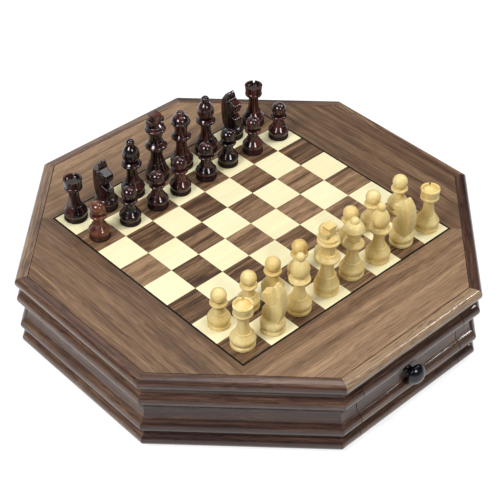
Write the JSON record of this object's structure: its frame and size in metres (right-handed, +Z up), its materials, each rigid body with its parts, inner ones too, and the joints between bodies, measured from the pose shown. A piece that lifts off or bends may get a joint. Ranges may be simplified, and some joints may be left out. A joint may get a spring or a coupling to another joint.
{
  "type": "chess box with drawers",
  "caption": "Octagonal walnut games box: inlaid chess board on top, moulded sides, felt-lined drawers, and a set of turned and carved chessmen that lift off.",
  "frame": {"origin": "centre of the underside, on the plane of the table", "axes": "+Z up; -Y towards the front drawer and the light men's side; +X to the right seen from the front"},
  "size_m": [0.407, 0.426, 0.1525],
  "materials": {
    "core_board": "raw fibre board edge",
    "light_veneer": "pale maple veneer, satin varnish",
    "walnut_veneer": "walnut veneer, satin varnish",
    "black_line": "black dyed stringing, satin varnish",
    "walnut": "solid walnut moulding, satin varnish",
    "plywood": "plain birch plywood",
    "felt": "green felt",
    "knob_black": "gloss black",
    "screw_steel": "bright zinc plated steel",
    "light_boxwood": "boxwood, satin",
    "dark_lacquer": "dark red-brown gloss lacquer over wood"
  },
  "bodies": {
    "case": {"top_board": "core_board", "light_squares": "light_veneer", "dark_squares": "walnut_veneer", "inlay_line": "black_line", "border_veneers": "walnut_veneer", "frame_sides": "walnut", "frame_corners": "walnut", "side_walls": "walnut", "corner_walls": "walnut", "wall_ends": "walnut", "bottom_board": "plywood", "partition": "plywood", "bay_boards": "plywood"},
    "front_drawer": {"front_drawer_front": "walnut", "front_drawer_sides": "plywood", "front_drawer_back": "plywood", "front_drawer_bottom": "plywood", "front_drawer_felt": "felt", "front_drawer_knob": "knob_black", "front_drawer_screw": "screw_steel"},
    "back_drawer": {"back_drawer_front": "walnut", "back_drawer_sides": "plywood", "back_drawer_back": "plywood", "back_drawer_bottom": "plywood", "back_drawer_felt": "felt", "back_drawer_knob": "knob_black", "back_drawer_screw": "screw_steel"},
    "light_rook_a": {"light_rook_a": "light_boxwood"},
    "light_knight_b": {"light_knight_b": "light_boxwood"},
    "light_bishop_c": {"light_bishop_c": "light_boxwood"},
    "light_king": {"light_king": "light_boxwood"},
    "light_queen": {"light_queen": "light_boxwood"},
    "light_bishop_f": {"light_bishop_f": "light_boxwood"},
    "light_knight_g": {"light_knight_g": "light_boxwood"},
    "light_rook_h": {"light_rook_h": "light_boxwood"},
    "light_pawn_a": {"light_pawn_a": "light_boxwood"},
    "light_pawn_b": {"light_pawn_b": "light_boxwood"},
    "light_pawn_c": {"light_pawn_c": "light_boxwood"},
    "light_pawn_d": {"light_pawn_d": "light_boxwood"},
    "light_pawn_e": {"light_pawn_e": "light_boxwood"},
    "light_pawn_f": {"light_pawn_f": "light_boxwood"},
    "light_pawn_g": {"light_pawn_g": "light_boxwood"},
    "light_pawn_h": {"light_pawn_h": "light_boxwood"},
    "dark_rook_a": {"dark_rook_a": "dark_lacquer"},
    "dark_knight_b": {"dark_knight_b": "dark_lacquer"},
    "dark_bishop_c": {"dark_bishop_c": "dark_lacquer"},
    "dark_king": {"dark_king": "dark_lacquer"},
    "dark_queen": {"dark_queen": "dark_lacquer"},
    "dark_bishop_f": {"dark_bishop_f": "dark_lacquer"},
    "dark_knight_g": {"dark_knight_g": "dark_lacquer"},
    "dark_rook_h": {"dark_rook_h": "dark_lacquer"},
    "dark_pawn_a": {"dark_pawn_a": "dark_lacquer"},
    "dark_pawn_b": {"dark_pawn_b": "dark_lacquer"},
    "dark_pawn_c": {"dark_pawn_c": "dark_lacquer"},
    "dark_pawn_d": {"dark_pawn_d": "dark_lacquer"},
    "dark_pawn_e": {"dark_pawn_e": "dark_lacquer"},
    "dark_pawn_f": {"dark_pawn_f": "dark_lacquer"},
    "dark_pawn_g": {"dark_pawn_g": "dark_lacquer"},
    "dark_pawn_h": {"dark_pawn_h": "dark_lacquer"}
  },
  "joints": [
    {"name": "back_drawer_slide", "type": "slide", "parent": "case", "child": "back_drawer", "axis": [0, 1, 0], "range_m": [0, 0.15]},
    {"name": "front_drawer_slide", "type": "slide", "parent": "case", "child": "front_drawer", "axis": [0, -1, 0], "range_m": [0, 0.15]},
    {"name": "lift_light_rook_a", "type": "slide", "parent": "case", "child": "light_rook_a", "axis": [0, 0, 1], "range_m": [0, 0.085]},
    {"name": "lift_light_knight_b", "type": "slide", "parent": "case", "child": "light_knight_b", "axis": [0, 0, 1], "range_m": [0, 0.085]},
    {"name": "lift_light_bishop_c", "type": "slide", "parent": "case", "child": "light_bishop_c", "axis": [0, 0, 1], "range_m": [0, 0.085]},
    {"name": "lift_light_king", "type": "slide", "parent": "case", "child": "light_king", "axis": [0, 0, 1], "range_m": [0, 0.085]},
    {"name": "lift_light_queen", "type": "slide", "parent": "case", "child": "light_queen", "axis": [0, 0, 1], "range_m": [0, 0.085]},
    {"name": "lift_light_bishop_f", "type": "slide", "parent": "case", "child": "light_bishop_f", "axis": [0, 0, 1], "range_m": [0, 0.085]},
    {"name": "lift_light_knight_g", "type": "slide", "parent": "case", "child": "light_knight_g", "axis": [0, 0, 1], "range_m": [0, 0.085]},
    {"name": "lift_light_rook_h", "type": "slide", "parent": "case", "child": "light_rook_h", "axis": [0, 0, 1], "range_m": [0, 0.085]},
    {"name": "lift_light_pawn_a", "type": "slide", "parent": "case", "child": "light_pawn_a", "axis": [0, 0, 1], "range_m": [0, 0.085]},
    {"name": "lift_light_pawn_b", "type": "slide", "parent": "case", "child": "light_pawn_b", "axis": [0, 0, 1], "range_m": [0, 0.085]},
    {"name": "lift_light_pawn_c", "type": "slide", "parent": "case", "child": "light_pawn_c", "axis": [0, 0, 1], "range_m": [0, 0.085]},
    {"name": "lift_light_pawn_d", "type": "slide", "parent": "case", "child": "light_pawn_d", "axis": [0, 0, 1], "range_m": [0, 0.085]},
    {"name": "lift_light_pawn_e", "type": "slide", "parent": "case", "child": "light_pawn_e", "axis": [0, 0, 1], "range_m": [0, 0.085]},
    {"name": "lift_light_pawn_f", "type": "slide", "parent": "case", "child": "light_pawn_f", "axis": [0, 0, 1], "range_m": [0, 0.085]},
    {"name": "lift_light_pawn_g", "type": "slide", "parent": "case", "child": "light_pawn_g", "axis": [0, 0, 1], "range_m": [0, 0.085]},
    {"name": "lift_light_pawn_h", "type": "slide", "parent": "case", "child": "light_pawn_h", "axis": [0, 0, 1], "range_m": [0, 0.085]},
    {"name": "lift_dark_rook_a", "type": "slide", "parent": "case", "child": "dark_rook_a", "axis": [0, 0, 1], "range_m": [0, 0.085]},
    {"name": "lift_dark_knight_b", "type": "slide", "parent": "case", "child": "dark_knight_b", "axis": [0, 0, 1], "range_m": [0, 0.085]},
    {"name": "lift_dark_bishop_c", "type": "slide", "parent": "case", "child": "dark_bishop_c", "axis": [0, 0, 1], "range_m": [0, 0.085]},
    {"name": "lift_dark_king", "type": "slide", "parent": "case", "child": "dark_king", "axis": [0, 0, 1], "range_m": [0, 0.085]},
    {"name": "lift_dark_queen", "type": "slide", "parent": "case", "child": "dark_queen", "axis": [0, 0, 1], "range_m": [0, 0.085]},
    {"name": "lift_dark_bishop_f", "type": "slide", "parent": "case", "child": "dark_bishop_f", "axis": [0, 0, 1], "range_m": [0, 0.085]},
    {"name": "lift_dark_knight_g", "type": "slide", "parent": "case", "child": "dark_knight_g", "axis": [0, 0, 1], "range_m": [0, 0.085]},
    {"name": "lift_dark_rook_h", "type": "slide", "parent": "case", "child": "dark_rook_h", "axis": [0, 0, 1], "range_m": [0, 0.085]},
    {"name": "lift_dark_pawn_a", "type": "slide", "parent": "case", "child": "dark_pawn_a", "axis": [0, 0, 1], "range_m": [0, 0.085]},
    {"name": "lift_dark_pawn_b", "type": "slide", "parent": "case", "child": "dark_pawn_b", "axis": [0, 0, 1], "range_m": [0, 0.085]},
    {"name": "lift_dark_pawn_c", "type": "slide", "parent": "case", "child": "dark_pawn_c", "axis": [0, 0, 1], "range_m": [0, 0.085]},
    {"name": "lift_dark_pawn_d", "type": "slide", "parent": "case", "child": "dark_pawn_d", "axis": [0, 0, 1], "range_m": [0, 0.085]},
    {"name": "lift_dark_pawn_e", "type": "slide", "parent": "case", "child": "dark_pawn_e", "axis": [0, 0, 1], "range_m": [0, 0.085]},
    {"name": "lift_dark_pawn_f", "type": "slide", "parent": "case", "child": "dark_pawn_f", "axis": [0, 0, 1], "range_m": [0, 0.085]},
    {"name": "lift_dark_pawn_g", "type": "slide", "parent": "case", "child": "dark_pawn_g", "axis": [0, 0, 1], "range_m": [0, 0.085]},
    {"name": "lift_dark_pawn_h", "type": "slide", "parent": "case", "child": "dark_pawn_h", "axis": [0, 0, 1], "range_m": [0, 0.085]}
  ]
}
